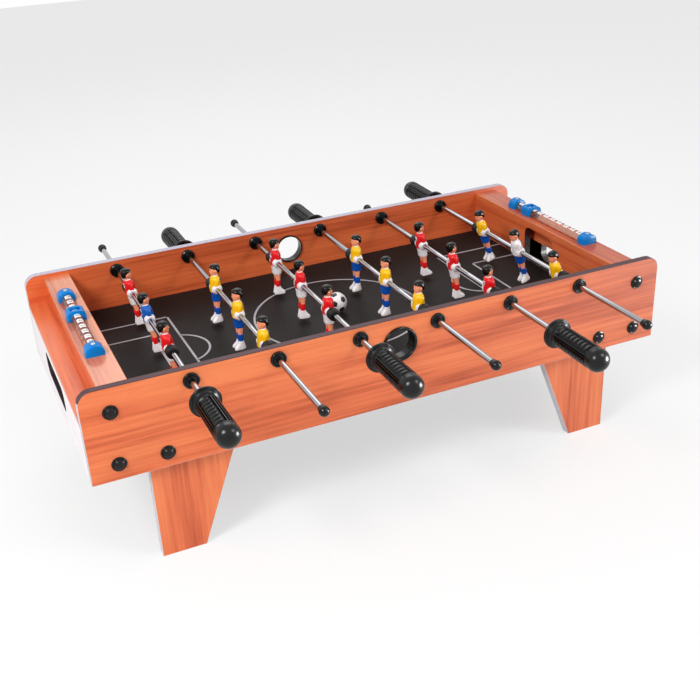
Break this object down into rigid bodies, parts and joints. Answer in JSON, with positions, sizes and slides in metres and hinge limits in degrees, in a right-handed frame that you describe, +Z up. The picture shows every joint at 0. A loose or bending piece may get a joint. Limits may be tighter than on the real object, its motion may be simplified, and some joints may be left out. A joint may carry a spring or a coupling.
{
  "type": "foosball table",
  "caption": "Tabletop football game with sliding, turning player rods, fluted handles, goals, score counters and tapered board legs.",
  "frame": {"origin": "bottom centre of the whole object's box at rest, on the surface under the four legs", "axes": "+X along the table from the left goal to the right goal, +Y across it to the far side, +Z up"},
  "size_m": [0.69, 0.599, 0.2368],
  "materials": {
    "cherry_laminate": "printed cherry-grain laminate on board, semi-gloss",
    "white_board": "white melamine face, satin",
    "plain_board": "bare fibreboard",
    "pitch": "black printed hardboard with pale field lines",
    "zinc_steel": "zinc plated",
    "black_plastic": "moulded, glossy",
    "grip_plastic": "moulded soft grip, satin",
    "rubber_ring": "matt rubber",
    "chromed_rod": "polished chrome plate",
    "red_players": "painted moulded plastic",
    "yellow_players": "painted moulded plastic",
    "blue_plastic": "moulded, glossy",
    "clear_scale": "clear moulded, with white number plates",
    "ball_plastic": "moulded white ball with dark patches"
  },
  "bodies": {
    "table": {"side_panel_near": "cherry_laminate", "side_panel_far": "cherry_laminate", "pitch_board": "pitch", "goal_wall_left": "cherry_laminate", "goal_wall_right": "cherry_laminate", "end_board_left": "white_board", "end_board_right": "white_board", "counter_shelf_left": "cherry_laminate", "counter_shelf_right": "cherry_laminate", "ball_box_floors": "plain_board", "ball_box_ledges": "cherry_laminate", "step_risers": "cherry_laminate", "leg_near_left": "cherry_laminate", "leg_near_right": "cherry_laminate", "leg_far_left": "cherry_laminate", "leg_far_right": "cherry_laminate", "frame_screws": "zinc_steel", "leg_bolts": "zinc_steel", "leg_nuts": "zinc_steel", "screw_caps": "black_plastic", "ball_entry_cups": "black_plastic", "rod_bushings": "black_plastic", "bushing_collars": "black_plastic", "counter_brackets": "blue_plastic", "counter_scales": "clear_scale", "counter_screws": "zinc_steel"},
    "rod_1_carriage": {"bumpers_1": "rubber_ring"},
    "rod_1_assembly": {"rod_1": "chromed_rod", "handle_1": "grip_plastic", "end_cap_1": "black_plastic", "men_1": "red_players"},
    "rod_2_carriage": {"bumpers_2": "rubber_ring"},
    "rod_2_assembly": {"rod_2": "chromed_rod", "handle_2": "grip_plastic", "end_cap_2": "black_plastic", "men_2": "yellow_players"},
    "rod_3_carriage": {"bumpers_3": "rubber_ring"},
    "rod_3_assembly": {"rod_3": "chromed_rod", "handle_3": "grip_plastic", "end_cap_3": "black_plastic", "men_3": "red_players"},
    "rod_4_carriage": {"bumpers_4": "rubber_ring"},
    "rod_4_assembly": {"rod_4": "chromed_rod", "handle_4": "grip_plastic", "end_cap_4": "black_plastic", "men_4": "yellow_players"},
    "rod_5_carriage": {"bumpers_5": "rubber_ring"},
    "rod_5_assembly": {"rod_5": "chromed_rod", "handle_5": "grip_plastic", "end_cap_5": "black_plastic", "men_5": "red_players"},
    "rod_6_carriage": {"bumpers_6": "rubber_ring"},
    "rod_6_assembly": {"rod_6": "chromed_rod", "handle_6": "grip_plastic", "end_cap_6": "black_plastic", "men_6": "yellow_players"},
    "score_slider_left": {"counter_slider_left": "blue_plastic"},
    "score_slider_right": {"counter_slider_right": "blue_plastic"},
    "ball_in_play": {"ball": "ball_plastic"},
    "ball_in_box": {"spare_ball": "ball_plastic"}
  },
  "joints": [
    {"name": "rod_1_slide", "type": "slide", "parent": "table", "child": "rod_1_carriage", "axis": [0, 1, 0], "range_m": [-0.053, 0.044]},
    {"name": "rod_1_turn", "type": "hinge", "parent": "rod_1_carriage", "child": "rod_1_assembly", "pos_m": [-0.23187, 0.042, 0.2065], "axis": [0, 1, 0], "continuous": true},
    {"name": "rod_2_slide", "type": "slide", "parent": "table", "child": "rod_2_carriage", "axis": [0, 1, 0], "range_m": [-0.002, 0.095]},
    {"name": "rod_2_turn", "type": "hinge", "parent": "rod_2_carriage", "child": "rod_2_assembly", "pos_m": [-0.13912, 0, 0.2065], "axis": [0, 1, 0], "continuous": true},
    {"name": "rod_3_slide", "type": "slide", "parent": "table", "child": "rod_3_carriage", "axis": [0, 1, 0], "range_m": [-0.053, 0.044]},
    {"name": "rod_3_turn", "type": "hinge", "parent": "rod_3_carriage", "child": "rod_3_assembly", "pos_m": [-0.04637, 0.042, 0.2065], "axis": [0, 1, 0], "continuous": true},
    {"name": "rod_4_slide", "type": "slide", "parent": "table", "child": "rod_4_carriage", "axis": [0, 1, 0], "range_m": [-0.002, 0.095]},
    {"name": "rod_4_turn", "type": "hinge", "parent": "rod_4_carriage", "child": "rod_4_assembly", "pos_m": [0.04637, 0, 0.2065], "axis": [0, 1, 0], "continuous": true},
    {"name": "rod_5_slide", "type": "slide", "parent": "table", "child": "rod_5_carriage", "axis": [0, 1, 0], "range_m": [-0.011, 0.086]},
    {"name": "rod_5_turn", "type": "hinge", "parent": "rod_5_carriage", "child": "rod_5_assembly", "pos_m": [0.13912, 0, 0.2065], "axis": [0, 1, 0], "continuous": true},
    {"name": "rod_6_slide", "type": "slide", "parent": "table", "child": "rod_6_carriage", "axis": [0, 1, 0], "range_m": [-0.002, 0.095]},
    {"name": "rod_6_turn", "type": "hinge", "parent": "rod_6_carriage", "child": "rod_6_assembly", "pos_m": [0.23187, 0, 0.2065], "axis": [0, 1, 0], "continuous": true},
    {"name": "score_slider_left_slide", "type": "slide", "parent": "table", "child": "score_slider_left", "axis": [0, 1, 0], "range_m": [-0.0835, 0.0435]},
    {"name": "score_slider_right_slide", "type": "slide", "parent": "table", "child": "score_slider_right", "axis": [0, 1, 0], "range_m": [-0.1085, 0.0185]},
    {"name": "ball_roll", "type": "slide", "parent": "table", "child": "ball_in_play", "axis": [0, 1, 0], "range_m": [-0.1475, 0.1435]},
    {"name": "spare_ball_roll", "type": "slide", "parent": "table", "child": "ball_in_box", "axis": [0, 1, 0], "range_m": [-0.128, 0.168]}
  ]
}
